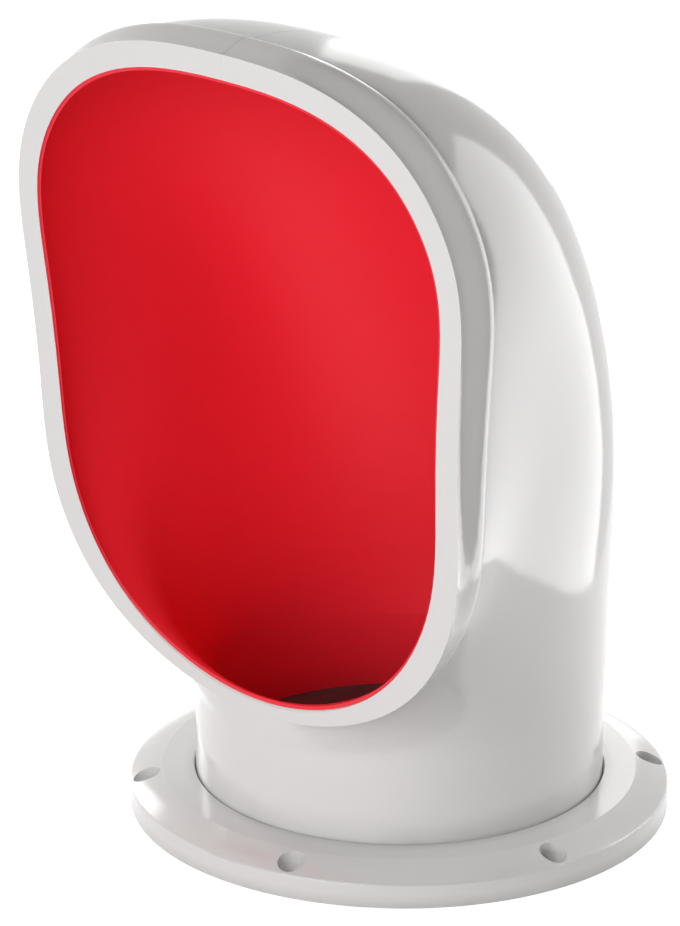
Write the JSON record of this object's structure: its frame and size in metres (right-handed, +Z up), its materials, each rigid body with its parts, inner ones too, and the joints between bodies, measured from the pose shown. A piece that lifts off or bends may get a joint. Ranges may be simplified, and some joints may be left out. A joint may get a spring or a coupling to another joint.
{
  "type": "deck vent",
  "caption": "White cowl ventilator with a red inside, turning on a round deck flange, with a shutter worked from inside and an insect screen.",
  "frame": {"origin": "centre of the flange's underside, on the deck", "axes": "+Z up from the deck along the turning axis, the mouth faces -Y at rest, +X sideways"},
  "size_m": [0.2148, 0.196, 0.3017],
  "materials": {
    "flange_white": "gloss",
    "seal_rubber": "matte",
    "bearing_plastic": "satin",
    "cowl_white": "gloss",
    "lining_red": "gloss",
    "ring_grey": "satin",
    "stainless": "satin",
    "screen_plastic": "satin",
    "screen_wire": "drawn wire",
    "shutter_plastic": "satin",
    "knob_plastic": "satin"
  },
  "bodies": {
    "base": {"deck_flange": "flange_white", "deck_seal": "seal_rubber", "bearing_ring": "bearing_plastic"},
    "cowl": {"cowl_shell": "cowl_white", "cowl_lining": "lining_red", "neck_seal": "seal_rubber", "retaining_ring": "ring_grey", "retaining_screws": "stainless", "screen_frame": "screen_plastic", "screen_warp": "screen_wire", "screen_weft": "screen_wire", "grille_plate": "shutter_plastic", "grille_screws": "stainless", "stop_pin": "stainless", "pivot_bolt": "stainless", "pivot_washer": "stainless", "pivot_nut": "stainless"},
    "shutter": {"shutter_disc": "shutter_plastic", "shutter_knob": "knob_plastic", "knob_screws": "stainless", "knob_cap": "knob_plastic"}
  },
  "joints": [
    {"name": "cowl_turn", "type": "hinge", "parent": "base", "child": "cowl", "pos_m": [0, 0, 0.01], "axis": [0, 0, 1], "continuous": true},
    {"name": "shutter_turn", "type": "hinge", "parent": "cowl", "child": "shutter", "pos_m": [0, 0, 0.017], "axis": [0, 0, 1], "range_deg": [0, 45]}
  ]
}
